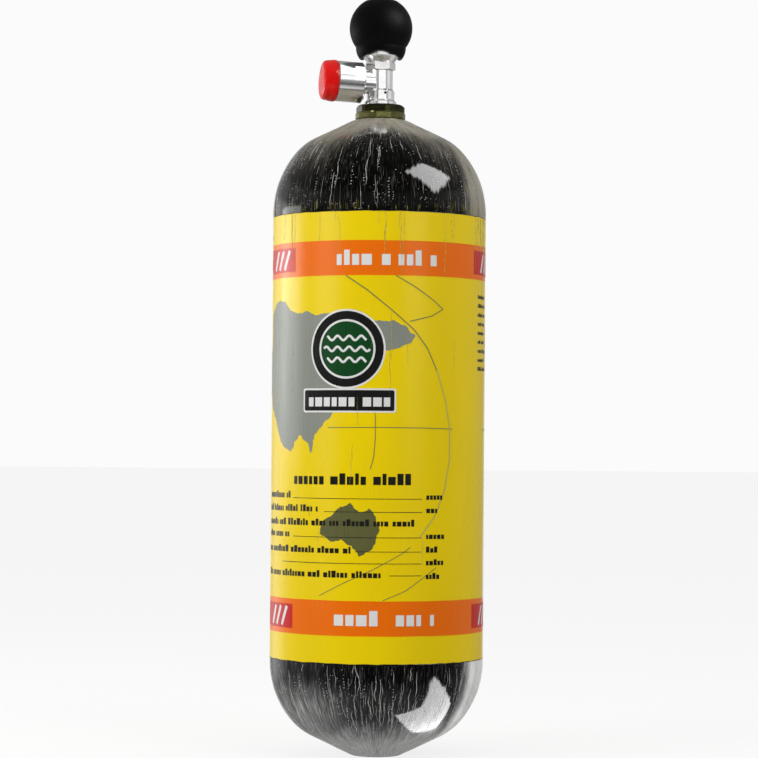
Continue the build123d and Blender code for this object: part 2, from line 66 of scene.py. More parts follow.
# ---------------------------------------------------------------- node trees
class Look:
    """One procedural material. A method's argument is a number, a colour or another node's output."""

    def __init__(self, name):
        self.material = bpy.data.materials.new(name)
        self.material.use_nodes = True
        self.tree = self.material.node_tree
        self.shader = self.tree.nodes["Principled BSDF"]
        self.place = self.add("ShaderNodeTexCoord").outputs["Object"]

    def add(self, kind, inputs=(), **settings):
        node = self.tree.nodes.new(kind)
        for key, value in settings.items():
            setattr(node, key, value)
        for key, value in dict(inputs).items():
            self.put(node.inputs[key], value)
        return node

    def put(self, socket, value):
        if isinstance(value, bpy.types.NodeSocket):
            self.tree.links.new(value, socket)
        else:
            socket.default_value = value

    def stretch(self, x, y, z, vector=None):
        """The position in millimetres, divided by a grain size along each axis."""
        scale = (1000 / x, 1000 / y, 1000 / z)
        inputs = {"Vector": vector or self.place, "Scale": scale}
        return self.add("ShaderNodeMapping", inputs).outputs["Vector"]

    def noise(self, vector, detail=3.0, roughness=0.5, distortion=0.0):
        inputs = {"Vector": vector, "Scale": 1.0, "Detail": detail, "Roughness": roughness}
        inputs["Distortion"] = distortion
        return self.add("ShaderNodeTexNoise", inputs).outputs["Fac"]

    def cells(self, vector):
        inputs = {"Vector": vector, "Scale": 1.0, "Randomness": 1.0}
        return self.add("ShaderNodeTexVoronoi", inputs).outputs["Distance"]

    def span(self, value, low, high, to_low=0.0, to_high=1.0, smooth=False):
        inputs = {0: value, 1: low, 2: high, 3: to_low, 4: to_high}
        kind = "SMOOTHSTEP" if smooth else "LINEAR"
        return self.add("ShaderNodeMapRange", inputs, interpolation_type=kind).outputs["Result"]

    def calc(self, operation, first, second=0.0):
        return self.add("ShaderNodeMath", {0: first, 1: second}, operation=operation).outputs[0]

    def times(self, first, second):
        return self.calc("MULTIPLY", first, second)

    def most(self, first, second):
        return self.calc("MAXIMUM", first, second)

    def mix(self, share, first, second, blend="MIX"):
        inputs = {0: share, 6: rgba(first), 7: rgba(second)}
        return self.add("ShaderNodeMix", inputs, data_type="RGBA", blend_type=blend).outputs[2]

    def bump(self, height, depth_mm, strength=1.0, normal=None):
        inputs = {"Height": height, "Distance": depth_mm * MM, "Strength": strength}
        if normal is not None:
            inputs["Normal"] = normal
        return self.add("ShaderNodeBump", inputs).outputs["Normal"]

    def axes(self):
        split = self.add("ShaderNodeSeparateXYZ", {0: self.place})
        return split.outputs["X"], split.outputs["Y"], split.outputs["Z"]

    def done(self, **inputs):
        for key, value in inputs.items():
            self.put(self.shader.inputs[key.replace("_", " ")], value)
        return self.material


def rgba(colour):
    if isinstance(colour, tuple) and len(colour) == 3:
        return (*colour, 1.0)
    return colour


def srgb(red, green, blue):
    """A linear colour from 0 to 255 display values."""
    shares = [value / 255 for value in (red, green, blue)]
    return tuple(((v + 0.055) / 1.055) ** 2.4 if v > 0.04045 else v / 12.92 for v in shares)


# ---------------------------------------------------------------- materials
def metal(name, colour, roughness, grain=(2.0, 2.0, 2.0), tarnish=0.12, metallic=1.0, vent=False):
    """Machined or plated metal: cloudy tarnish, tool marks, rubbed places. vent paints shade into the valve's
    vent hole.
    """
    look = Look(name)
    cloud = look.noise(look.stretch(9, 9, 9), detail=4)
    marks = look.noise(look.stretch(*grain), detail=2, roughness=0.7)
    dark = tuple(v * (1 - 2.4 * tarnish) for v in colour)
    tinted = look.mix(look.span(cloud, 0.35, 0.7), colour, dark)
    rubbed = look.span(look.noise(look.stretch(1.6, 1.6, 5), detail=5, roughness=0.8), 0.6, 0.75, 0, 0.05)
    base = look.mix(rubbed, tinted, tuple(min(1.0, v * 1.5 + 0.1) for v in colour))
    # painted shade: the inside of the valve's vent hole is coloured near black
    if vent:
        x, y, z = look.axes()
        across = look.calc("SUBTRACT", x, VENT_X)
        up = look.calc("SUBTRACT", z, VENT_Z)
        squared = look.calc("ADD", look.times(across, across), look.times(up, up))
        vent_shade_mask = look.calc("LESS_THAN", squared, VENT_RADIUS**2)
        in_front = look.calc("LESS_THAN", y, 0.0)
        base = look.mix(look.times(vent_shade_mask, in_front), base, (0.012, 0.012, 0.012))
    rough = look.calc("ADD", look.span(marks, 0.3, 0.7, roughness * 0.75, roughness * 1.3), rubbed)
    normal = look.bump(marks, 0.02, 0.35)
    return look.done(Base_Color=base, Metallic=metallic, Roughness=rough, Normal=normal)


def plastic(name, colour, roughness, grain=0.8, depth=0.03, dust=0.0, specular=0.5, dents=0.0):
    """Moulded plastic or rubber: a slight colour drift, a fine grain, dusty spots and shallow dents."""
    look = Look(name)
    drift = look.noise(look.stretch(14, 14, 14), detail=3)
    fine = look.noise(look.stretch(grain, grain, grain), detail=3, roughness=0.6)
    base = look.mix(look.span(drift, 0.3, 0.7), colour, tuple(v * 0.82 for v in colour))
    spots = look.noise(look.stretch(2.2, 2.2, 3.4), detail=6, roughness=0.75)
    base = look.mix(look.span(spots, 0.58, 0.78, 0, dust), base, (0.42, 0.41, 0.38))
    rough = look.span(fine, 0.3, 0.7, roughness * 0.85, min(1.0, roughness * 1.15))
    normal = look.bump(fine, depth, 0.6)
    if dents:
        normal = look.bump(look.noise(look.stretch(4, 4, 6), detail=2), dents, 0.8, normal)
    return look.done(Base_Color=base, Roughness=rough, Normal=normal, IOR=1.45, Specular_IOR_Level=specular)


def resin_wound():
    """Black carbon under a glossy glass and resin coat, with pale strands that run pole to pole."""
    look = Look("resin_wound")
    x, y, z = look.axes()
    squared = look.calc("ADD", look.times(x, x), look.times(y, y))
    radius = look.most(look.calc("SQRT", squared), 0.004)
    turn = look.calc("ARCTAN2", x, look.times(y, -1.0))
    side = look.calc("SIGN", look.calc("SUBTRACT", z, BODY_MIDDLE))
    inputs = {
        "X": look.times(look.calc("DIVIDE", x, radius), BODY_RADIUS),
        "Y": look.times(look.calc("DIVIDE", y, radius), BODY_RADIUS),
        "Z": look.calc("SUBTRACT", z, look.times(side, radius)),
    }
    meridian = look.add("ShaderNodeCombineXYZ", inputs).outputs[0]
    strands = look.noise(look.stretch(1.3, 1.3, 24, meridian), detail=4, roughness=0.62, distortion=0.5)
    threads = look.noise(look.stretch(0.45, 0.45, 16, meridian), detail=2, roughness=0.6, distortion=0.3)
    clumps = look.noise(look.stretch(11, 11, 34, meridian), detail=3)
    upper = look.span(z, BODY_MIDDLE - 0.01, BODY_MIDDLE + 0.01)
    lower = look.span(z, BODY_MIDDLE + 0.01, BODY_MIDDLE - 0.01)

    # paler film, mostly painted sheen: round the neck (partly hazy resin there), at the foot, and on the
    # lower dome's two sides
    flanks = look.span(look.calc("ABSOLUTE", turn), 0.10, 0.75, 0.0, 0.020, smooth=True)
    neck = look.span(look.calc("SUBTRACT", radius, flanks), 0.070, 0.027, smooth=True)
    neck = look.times(neck, upper)
    foot = look.times(look.span(z, 0.040, 0.010, smooth=True), lower)
    right = look.times(look.span(turn, 0.86, 1.08, smooth=True), look.span(turn, 2.3, 1.7, smooth=True))
    right = look.times(right, look.span(lower, 0.0, 1.0, 0.80, 1.0))
    left = look.times(look.span(turn, -0.15, -0.75, smooth=True), look.span(turn, -2.6, -1.9, smooth=True))
    left = look.times(left, look.span(z, 0.076, 0.038, 0.08, 1.0, smooth=True))
    left = look.times(left, lower)
    sides = look.most(right, look.times(left, 0.52))
    haze_and_sheen = look.most(look.most(neck, foot), sides)
    haze_and_sheen = look.times(haze_and_sheen, look.span(clumps, 0.25, 0.6, 0.55, 1.0))

    line = look.most(look.span(threads, 0.60, 0.72), look.span(strands, 0.60, 0.78))
    line = look.times(line, look.span(clumps, 0.4, 0.65, 0.04, 0.28))
    grooves = look.times(look.span(strands, 0.32, 0.62, 0.12, 1.0), look.span(threads, 0.35, 0.62, 0.3, 1.0))
    solid = look.most(neck, look.most(look.times(foot, 0.55), right))
    grooves = look.most(grooves, look.times(solid, 0.7))
    # painted sheen and resin haze, broken up by the grooves, before it goes into the base colour
    film = look.times(haze_and_sheen, grooves)
    share = look.calc("MINIMUM", look.calc("ADD", film, line), 0.95)
    tint = look.mix(upper, (0.82, 0.825, 0.81), (0.50, 0.46, 0.36))
    base = look.mix(share, (0.0018, 0.0018, 0.0016), tint)
    specks = look.cells(look.stretch(2.4, 2.4, 3.0))
    speck_patch = look.span(look.noise(look.stretch(16, 16, 16)), 0.45, 0.6)
    white = look.times(look.span(specks, 0.15, 0.10), speck_patch)
    base = look.mix(look.times(white, 0.7), base, (0.75, 0.75, 0.72))
    rough = look.span(strands, 0.3, 0.75, 0.03, 0.08)
    rough = look.calc("ADD", rough, look.times(haze_and_sheen, 0.4))
    normal = look.bump(strands, 0.06, 0.4)
    normal = look.bump(threads, 0.03, 0.4, normal)
    return look.done(Base_Color=base, Roughness=rough, Normal=normal, IOR=1.36)


def printed(name, colour, drift=0.08):
    """Ink under the clear outer resin: a slight colour drift and pale hairlines."""
    look = Look(name)
    cloud = look.noise(look.stretch(40, 40, 90), detail=3)
    lines = look.noise(look.stretch(1.2, 1.2, 60), detail=3, roughness=0.6)
    base = look.mix(look.span(cloud, 0.3, 0.7), colour, tuple(v * (1 - drift) for v in colour))
    base = look.mix(look.span(lines, 0.6, 0.8, 0, 0.12), base, tuple(min(1.0, v + 0.12) for v in colour))
    rough = look.span(lines, 0.3, 0.7, 0.24, 0.39)
    normal = look.bump(look.noise(look.stretch(9, 9, 30), detail=3), 0.08, 0.4)
    return look.done(Base_Color=base, Roughness=rough, Normal=normal, IOR=1.42)


YELLOW = (0.92, 0.68, 0.002)
ORANGE = (0.93, 0.17, 0.002)
BANDS = ((106.5, 135.5), (403.8, 432.8))  # bottom and top of each orange band, in millimetres


def printed_label():
    """The sleeve: yellow film with an orange band near each end, hairlines, scuffs and specks."""
    look = Look("printed_label")
    z = look.axes()[2]
    waver = look.span(look.noise(look.stretch(18, 18, 40)), 0.3, 0.7, -0.00012, 0.00012)
    height = look.calc("ADD", z, waver)
    cloud = look.noise(look.stretch(45, 45, 120), detail=3)
    yellow = look.mix(look.span(cloud, 0.3, 0.7), YELLOW, tuple(v * 0.94 for v in YELLOW))
    orange = look.mix(look.span(cloud, 0.3, 0.7), ORANGE, tuple(v * 0.94 for v in ORANGE))
    base = yellow
    for bottom, top in BANDS:
        above = look.span(height, (bottom - 0.15) * MM, (bottom + 0.15) * MM)
        under = look.span(height, (top + 0.15) * MM, (top - 0.15) * MM)
        base = look.mix(look.times(above, under), base, orange)
    lines = look.noise(look.stretch(1.1, 1.1, 90), detail=3, roughness=0.6)
    base = look.mix(look.span(lines, 0.62, 0.8, 0, 0.10), base, (0.95, 0.82, 0.06))
    scuffs = look.noise(look.stretch(0.35, 0.35, 5), detail=5, roughness=0.8, distortion=0.6)
    patch = look.span(look.noise(look.stretch(26, 26, 34)), 0.52, 0.7)
    scuff = look.times(look.span(scuffs, 0.62, 0.72), patch)
    base = look.mix(look.times(scuff, 0.18), base, (0.50, 0.40, 0.06))
    dots = look.cells(look.stretch(9, 9, 12))
    base = look.mix(look.span(dots, 0.05, 0.03, 0, 0.35), base, (0.20, 0.16, 0.04))
    rough = look.span(cloud, 0.3, 0.7, 0.22, 0.30)
    rough = look.calc("ADD", rough, look.times(scuff, 0.2))
    normal = look.bump(look.noise(look.stretch(14, 14, 60), detail=3), 0.12, 0.3)
    return look.done(Base_Color=base, Roughness=rough, Normal=normal, IOR=1.42)


def olive_ring():
    """Olive passivated steel, glossy, with painted shade darkening its hexagon, and a mottled film."""
    look = Look("olive_steel")
    z = look.axes()[2]
    cloud = look.noise(look.stretch(5, 5, 2), detail=5, roughness=0.6, distortion=0.4)
    rim = look.mix(look.span(cloud, 0.3, 0.7), (0.22, 0.21, 0.075), (0.085, 0.085, 0.022))
    # painted shade: the upper hexagon gets a much darker olive than the round rim below it
    shaded_hexagon = look.mix(look.span(cloud, 0.35, 0.65), (0.060, 0.060, 0.016), (0.012, 0.012, 0.006))
    base = look.mix(look.span(z, RING_STEP - 0.0008, RING_STEP + 0.0004), rim, shaded_hexagon)
    marks = look.noise(look.stretch(8, 8, 0.4), detail=3, roughness=0.7)
    base = look.mix(look.span(marks, 0.58, 0.8, 0, 0.3), base, (0.40, 0.38, 0.18))
    rough = look.span(marks, 0.3, 0.7, 0.12, 0.24)
    normal = look.bump(marks, 0.03, 0.4)
    return look.done(Base_Color=base, Metallic=0.85, Roughness=rough, Normal=normal)


def strand_look(name, colour, roughness=0.35):
    """A strand, drop or bead of resin, darker in places."""
    look = Look(name)
    along = look.noise(look.stretch(1.2, 1.2, 3.5), detail=4, roughness=0.7)
    base = look.mix(look.span(along, 0.35, 0.65), colour, tuple(v * 0.35 for v in colour))
    normal = look.bump(along, 0.08, 0.6)
    return look.done(Base_Color=base, Roughness=roughness, Normal=normal, IOR=1.4)


PLATED = (3, 3, 0.35)  # fine turning marks round the axis
LOOKS = {
    "resin": resin_wound(),
    "label": printed_label(),
    "olive": olive_ring(),
    "nickel": metal("nickel_plate", (0.93, 0.928, 0.925), 0.15, PLATED, 0.03, metallic=0.94, vent=True),
    "satin": metal("satin_nickel", (0.90, 0.895, 0.885), 0.24, PLATED, 0.05, metallic=0.94),
    "aluminium": metal("bare_aluminium", (0.72, 0.73, 0.74), 0.28, grain=(4, 4, 0.4), tarnish=0.06),
    "carbon": plastic("carbon_wound", (0.02, 0.02, 0.022), 0.35, grain=1.5, depth=0.1),
    "brass": metal("brass", (0.78, 0.57, 0.24), 0.22, grain=(2, 2, 0.3)),
    "bronze": metal("sintered_bronze", (0.55, 0.33, 0.18), 0.45, grain=(0.5, 0.5, 0.5), tarnish=0.15),
    "washer": metal("washer_bronze", (0.44, 0.38, 0.29), 0.35, grain=(2, 2, 0.4)),
    "steel": metal("steel", (0.62, 0.62, 0.62), 0.25, grain=(1, 1, 1)),
    "rubber": plastic("seal_rubber", (0.012, 0.012, 0.012), 0.5, grain=0.6),
    "grip": plastic("grip_rubber", (0.0035, 0.0032, 0.0034), 0.5, 0.5, depth=0.05, dust=0.01, specular=0.08),
    "black": plastic("black_plastic", (0.018, 0.018, 0.018), 0.35, grain=0.7),
    "slip": plastic("slip_plastic", (0.72, 0.70, 0.62), 0.4, grain=0.9),
    "red": plastic("red_plastic", (0.86, 0.007, 0.005), 0.24, grain=1.1, dust=0.02, specular=0.4, dents=1.3),
}

FINISHES = {
    "liner": ("aluminium", "bare_aluminium"),
    "carbon_overwrap": ("carbon", "carbon_fibre"),
    "glass_overwrap": ("resin", "glass_fibre_resin"),
    "label_sleeve": ("label", "printed_label"),
    "neck_ring": ("olive", "olive_steel"),
    "neck_o_ring": ("rubber", "seal_rubber"),
    "valve_body": ("nickel", "nickel_plate"),
    "dip_tube": ("steel", "steel"),
    "dip_tube_filter": ("bronze", "bronze"),
    "bonnet_nut": ("satin", "nickel_plate"),
    "bonnet_washer": ("washer", "bronze"),
    "upper_spindle": ("brass", "brass"),
    "spindle_o_rings": ("rubber", "seal_rubber"),
    "collar_washer": ("slip", "slip_plastic"),
    "seat_carrier": ("brass", "brass"),
    "seat_pad": ("slip", "slip_plastic"),
    "thrust_washer": ("slip", "slip_plastic"),
    "knob_hub": ("black", "black_plastic"),
    "knob_grip": ("grip", "grip_rubber"),
    "knob_spring": ("steel", "steel"),
    "spring_washer": ("steel", "steel"),
    "knob_nut": ("steel", "steel"),
    "knob_plug": ("black", "black_plastic"),
    "dust_cap": ("red", "red_plastic"),
    "cap_gasket": ("rubber", "seal_rubber"),
}

for name, (look_name, slot) in FINISHES.items():
    mesh = nodes[name].data
    mesh.materials.clear()
    mesh.materials.append(LOOKS[look_name])


# ---------------------------------------------------------------- building pieces
def piece(name, points, faces, material, body):
    """A smooth mesh in the frame's metres that moves with a CAD body."""
    mesh = bpy.data.meshes.new(name)
    mesh.from_pydata(points, [], faces)
    mesh.validate()
    mesh.materials.append(material)
    mesh.shade_smooth()
    obj = bpy.data.objects.new(name, mesh)
    bpy.context.scene.collection.objects.link(obj)
    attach(obj, body)
    return obj


# ---------------------------------------------------------------- the wound skin
class Side:
    """A dome's outer surface, measured off the CAD node: distance along it to radius, height and slope."""

    def __init__(self, tree, start, end, steps=260):
        samples = []
        for i in range(steps + 1):
            share = i / steps
            height = start + (end - start) * share
            radius = 0.0
            for k in range(24):
                angle = math.tau * (k + 0.37) / 24
                out = Vector((math.cos(angle), math.sin(angle), 0))
                hit = tree.ray_cast(out * 0.2 + Vector((0, 0, height)), -out)
                if hit[0] is not None:
                    radius = max(radius, math.hypot(hit[0].x, hit[0].y))
            samples.append((radius, height))
        self.samples = samples
        self.lengths = [0.0]
        for (r0, z0), (r1, z1) in zip(samples, samples[1:]):
            self.lengths.append(self.lengths[-1] + math.hypot(r1 - r0, z1 - z0))
        self.length = self.lengths[-1]
        self.flip = 1 if end > start else -1

    def at(self, distance):
        """Radius, height, and the outward normal's radial and upward parts."""
        distance = min(max(distance, 0.0), self.length)
        low = 0
        high = len(self.lengths) - 1
        while high - low > 1:
            middle = (low + high) // 2
            if self.lengths[middle] > distance:
                high = middle
            else:
                low = middle
        share = (distance - self.lengths[low]) / (self.lengths[high] - self.lengths[low])
        r0, z0 = self.samples[low]
        r1, z1 = self.samples[high]
        wide0 = self.samples[max(0, low - 3)]
        wide1 = self.samples[min(len(self.samples) - 1, high + 3)]
        run = Vector((wide1[0] - wide0[0], wide1[1] - wide0[1])).normalized()
        return r0 + (r1 - r0) * share, z0 + (z1 - z0) * share, run.y * self.flip, -run.x * self.flip

    def relief(self, angle, distance):
        """How far the strands lift the surface there, in metres."""
        x = math.cos(angle)
        y = math.sin(angle)
        along = distance * 1000
        ridge = noise.noise(Vector((x * 34, y * 34, along / 26 + 5 * self.flip)))
        fine = noise.noise(Vector((x * 80, y * 80, along / 14)))
        broad = noise.noise(Vector((x * 4, y * 4, along / 26)))
        fade = min(1.0, distance / 0.006) * min(1.0, (self.length - distance) / 0.004)
        return (0.05 * ridge + 0.02 * fine + 0.16 * broad) * MM * max(0.0, fade)

    def point(self, angle, distance, lift=0.0):
        radius, height, out, up = self.at(distance)
        lift += self.relief(angle, distance)
        radius += lift * out
        return Vector((radius * math.cos(angle), radius * math.sin(angle), height + lift * up))


label_bottom, label_top = (corner.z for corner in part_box("label_sleeve"))
skin_bottom, skin_top = (corner.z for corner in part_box("glass_overwrap"))
glass = nodes["glass_overwrap"].data
tree = BVHTree.FromPolygons([v.co for v in glass.vertices], [tuple(p.vertices) for p in glass.polygons])
UPPER = Side(tree, label_top + 0.0001, skin_top - 0.0001)
LOWER = Side(tree, label_bottom - 0.0001, skin_bottom + 0.0001)


def wound_skin(around=480, along=76):
    """Both domes' outer surface with its relief, in the place of the CAD node's."""
    points = []
    faces = []
    for dome in (UPPER, LOWER):
        start = len(points)
        for i in range(along + 1):
            distance = dome.length * i / along
            for k in range(around):
                points.append(dome.point(math.tau * k / around, distance))
        for i in range(along):
            for k in range(around):
                a = start + i * around + k
                b = start + i * around + (k + 1) % around
                quad = (a, b, b + around, a + around)
                faces.append(quad if dome.flip > 0 else quad[::-1])
        last = start + along * around
        inner = len(points)
        for k in range(around):
            edge = points[last + k]
            points.append(Vector((edge.x * 0.8, edge.y * 0.8, edge.z)))
        for k in range(around):
            b = (k + 1) % around
            quad = (last + k, last + b, inner + b, inner + k)
            faces.append(quad if dome.flip > 0 else quad[::-1])
    skin = piece("wound_skin", points, faces, LOOKS["resin"], "cylinder")
    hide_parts("glass_overwrap")
    return skin


skin = wound_skin()


def strand(points, faces, dome, angle, start, length, width, height, sway):
    """A flattened ridge of glass and resin lying on a dome, from start for length along it."""
    steps = max(5, int(length / 0.0022))
    seed = rng.random() * 100
    section = ((-0.5, -0.25), (-0.3, 0.6), (0.0, 1.0), (0.3, 0.6), (0.5, -0.25))
    first = len(points)
    for i in range(steps + 1):
        share = i / steps
        distance = start + length * share
        radius = dome.at(distance)[0]
        drift = noise.noise(Vector((seed, share * length * 90, 0))) * sway
        drift += noise.noise(Vector((seed, share * length * 320, 7))) * sway * 0.35
        taper = math.sin(math.pi * min(1.0, max(0.03, share * 0.94 + 0.03))) ** 0.5
        swell = 0.75 + 0.5 * noise.noise(Vector((seed, share * length * 500, 3)))
        for across, up in section:
            turn = angle + (drift + across * width * taper * swell) / radius
            points.append(dome.point(turn, distance, up * height * taper * swell))
    size = len(section)
    for i in range(steps):
        for k in range(size - 1):
            a = first + i * size + k
            quad = (a, a + 1, a + size + 1, a + size)
            faces.append(quad if dome.flip > 0 else quad[::-1])


def strands(name, dome, count, reach, lengths, widths, look, sway):
    """Many strands on a dome. reach is the range of shares along the dome where they start."""
    points = []
    faces = []
    for _ in range(count):
        angle = rng.random() * math.tau
        start = dome.length * rng.uniform(*reach)
        length = min(rng.uniform(*lengths), dome.length - start - 0.001)
        if length < 0.003:
            continue
        width = rng.uniform(*widths)
        strand(points, faces, dome, angle, start, length, width, width * 0.3, rng.uniform(0.4, 1.0) * sway)
    return piece(name, points, faces, look, "cylinder")


pale_strand = strand_look("pale_strand", (0.90, 0.90, 0.87))
dull_strand = strand_look("dull_strand", (0.34, 0.33, 0.27))
grey_strand = strand_look("grey_strand", (0.80, 0.80, 0.77))
yellow_green_strand = strand_look("yellow_green_strand", (0.38, 0.36, 0.03))
strands("strands_upper", UPPER, 210, (0.0, 0.9), (0.006, 0.030), (0.0002, 0.0005), pale_strand, 0.0020)
strands("strands_lower", LOWER, 330, (0.0, 0.85), (0.006, 0.030), (0.0003, 0.0007), pale_strand, 0.0032)
strands("strands_side", LOWER, 480, (0.1, 0.85), (0.006, 0.034), (0.0002, 0.0005), grey_strand, 0.0030)
strands("strands_neck", UPPER, 460, (0.55, 0.96), (0.004, 0.022), (0.0002, 0.0006), dull_strand, 0.0018)
strands("strands_base", LOWER, 340, (0.55, 0.95), (0.004, 0.024), (0.0003, 0.0007), pale_strand, 0.0030)
# short yellow-green strands starting at the sleeve's top edge
strands("yellow_green_ends", UPPER, 150, (0.0, 0.02), (0.003, 0.010), (0.0002, 0.0006), yellow_green_strand, 0.0014)


def bead(points, faces, dome, angle, distance, radius):
    """A drop of resin standing on a dome."""
    first = len(points)
    sides = 8
    for share, lift in ((1.0, -0.1), (0.72, 0.42)):
        for k in range(sides):
            turn = math.tau * k / sides
            across = radius * share * math.cos(turn) / dome.at(distance)[0]
            along = radius * share * math.sin(turn)
            points.append(dome.point(angle + across, distance + along, radius * lift))
    points.append(dome.point(angle, distance, radius * 0.62))
    for k in range(sides):
        b = (k + 1) % sides
        quad = (first + k, first + b, first + sides + b, first + sides + k)
        cap = (first + sides + k, first + sides + b, first + 2 * sides)
        for face in (quad, cap):
            faces.append(face if dome.flip > 0 else face[::-1])


drop_look = strand_look("resin_drop", (0.80, 0.80, 0.78), 0.12)


def beads(name, dome, rows, reach):
    """Rows of drops, one under another."""
    points = []
    faces = []
    for _ in range(rows):
        angle = rng.random() * math.tau
        distance = dome.length * rng.uniform(*reach)
        for _ in range(rng.randint(3, 9)):
            if distance > dome.length - 0.004:
                break
            bead(points, faces, dome, angle, distance, rng.uniform(0.00022, 0.00055))
            distance += rng.uniform(0.0014, 0.0032)
            angle += rng.uniform(-0.004, 0.004)
    return piece(name, points, faces, drop_look, "cylinder")


beads("beads_upper", UPPER, 60, (0.01, 0.5))
beads("beads_lower", LOWER, 110, (0.01, 0.45))


# ---------------------------------------------------------------- the print
LABEL_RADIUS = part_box("label_sleeve")[1].x


def on_label(u, z, lift):
    """A place on the sleeve: u and z are millimetres round to the right of the front, and up."""
    turn = u * MM / LABEL_RADIUS
    radius = LABEL_RADIUS + lift * MM
    return Vector((radius * math.sin(turn), -radius * math.cos(turn), z * MM))


class Ink:
    """The places of one ink, gathered into one thin mesh."""

    def __init__(self, lift):
        self.lift = lift
        self.points = []
        self.faces = []

    def bar(self, u0, u1, z0, z1):
        steps = max(1, math.ceil((u1 - u0) / 3))
        first = len(self.points)
        for i in range(steps + 1):
            u = u0 + (u1 - u0) * i / steps
            self.points += [on_label(u, z0, self.lift), on_label(u, z1, self.lift)]
        for i in range(steps):
            a = first + 2 * i
            self.faces.append((a, a + 2, a + 3, a + 1))

    def line(self, corners, width):
        """A thin line through the corners."""
        path = []
        for (u0, z0), (u1, z1) in zip(corners, corners[1:]):
            steps = max(1, math.ceil(math.hypot(u1 - u0, z1 - z0) / 3))
            path += [(u0 + (u1 - u0) * i / steps, z0 + (z1 - z0) * i / steps) for i in range(steps)]
        path.append(corners[-1])
        first = len(self.points)
        for i, (u, z) in enumerate(path):
            before = path[max(0, i - 1)]
            after = path[min(len(path) - 1, i + 1)]
            run = Vector((after[0] - before[0], after[1] - before[1])).normalized() * width / 2
            self.points += [
                on_label(u + run.y, z - run.x, self.lift),
                on_label(u - run.y, z + run.x, self.lift),
            ]
        for i in range(len(path) - 1):
            a = first + 2 * i
            self.faces.append((a, a + 2, a + 3, a + 1))

    def area(self, outline):
        """A filled outline, meshed finely enough to follow the sleeve."""
        outline = finer(outline, 2.5)
        inner = []
        us = [u for u, _ in outline]
        zs = [z for _, z in outline]
        u = min(us)
        while u < max(us):
            z = min(zs)
            while z < max(zs):
                if inside(outline, u, z):
                    inner.append((u, z))
                z += 6
            u += 3
        corners = [Vector(p) for p in outline] + [Vector(p) for p in inner]
        ring = list(range(len(outline)))
        made = geometry.delaunay_2d_cdt(corners, [], [ring], 1, 1e-5)
        first = len(self.points)
        self.points += [on_label(p.x, p.y, self.lift) for p in made[0]]
        self.faces += [tuple(first + i for i in face) for face in made[2]]

    def piece(self, name, colour, drift=0.08):
        look = printed("ink_" + name, colour, drift)
        return piece("print_" + name, self.points, self.faces, look, "cylinder")


def finer(outline, longest):
    """The same closed outline with no side longer than longest."""
    made = []
    for (u0, z0), (u1, z1) in zip(outline, outline[1:] + outline[:1]):
        steps = max(1, math.ceil(math.hypot(u1 - u0, z1 - z0) / longest))
        made += [(u0 + (u1 - u0) * i / steps, z0 + (z1 - z0) * i / steps) for i in range(steps)]
    return made


def inside(outline, u, z):
    """Whether a place is well inside an outline."""
    crossings = 0
    for (u0, z0), (u1, z1) in zip(outline, outline[1:] + outline[:1]):
        if math.hypot(u - u0, z - z0) < 1.2:
            return False
        if (z0 > z) != (z1 > z) and u < u0 + (z - z0) / (z1 - z0) * (u1 - u0):
            crossings += 1
    return crossings % 2 == 1


def coast(corners, rough=0.16, finest=2.0):
    """A closed outline with a coast's raggedness between its corners."""
    outline = []
    for start, end in zip(corners, corners[1:] + corners[:1]):
        outline += ragged(start, end, rough, finest)
    return outline


def ragged(start, end, rough, finest):
    """The points from start up to but without end, by midpoint displacement."""
    length = math.hypot(end[0] - start[0], end[1] - start[1])
    if length < finest:
        return [start]
    off = rng.uniform(-rough, rough) * length
    run = ((end[0] - start[0]) / length, (end[1] - start[1]) / length)
    middle = (
        (start[0] + end[0]) / 2 - run[1] * off,
        (start[1] + end[1]) / 2 + run[0] * off,
    )
    return ragged(start, middle, rough, finest) + ragged(middle, end, rough, finest)


def disc(u, z, radius, corners=48):
    """A circle's outline."""
    return [
        (u + radius * math.cos(math.tau * i / corners), z + radius * math.sin(math.tau * i / corners))
        for i in range(corners)
    ]


def rounded(u0, u1, z0, z1, radius, corners=6):
    """A rectangle's outline with rounded corners."""
    outline = []
    left = u0 + radius
    right = u1 - radius
    bottom = z0 + radius
    top = z1 - radius
    centres = ((right, top), (left, top), (left, bottom), (right, bottom))
    for quarter, (u, z) in enumerate(centres):
        for i in range(corners + 1):
            turn = math.pi / 2 * (quarter + i / corners)
            outline.append((u + radius * math.cos(turn), z + radius * math.sin(turn)))
    return outline


def blocks(ink, u0, u1, z, height, word=(3, 8)):
    """Plain blocks, grouped as words, where a line of small print would stand."""
    u = u0
    left = rng.randint(*word)
    while u < u1 - 0.3 * height:
        width = min(rng.uniform(0.32, 0.72) * height, u1 - u)
        tall = rng.choice((0.72, 0.72, 0.72, 1.0))
        ink.bar(u, u + width, z, z + height * tall)
        u += width + 0.16 * height
        left -= 1
        if left == 0:
            left = rng.randint(*word)
            u += 0.5 * height


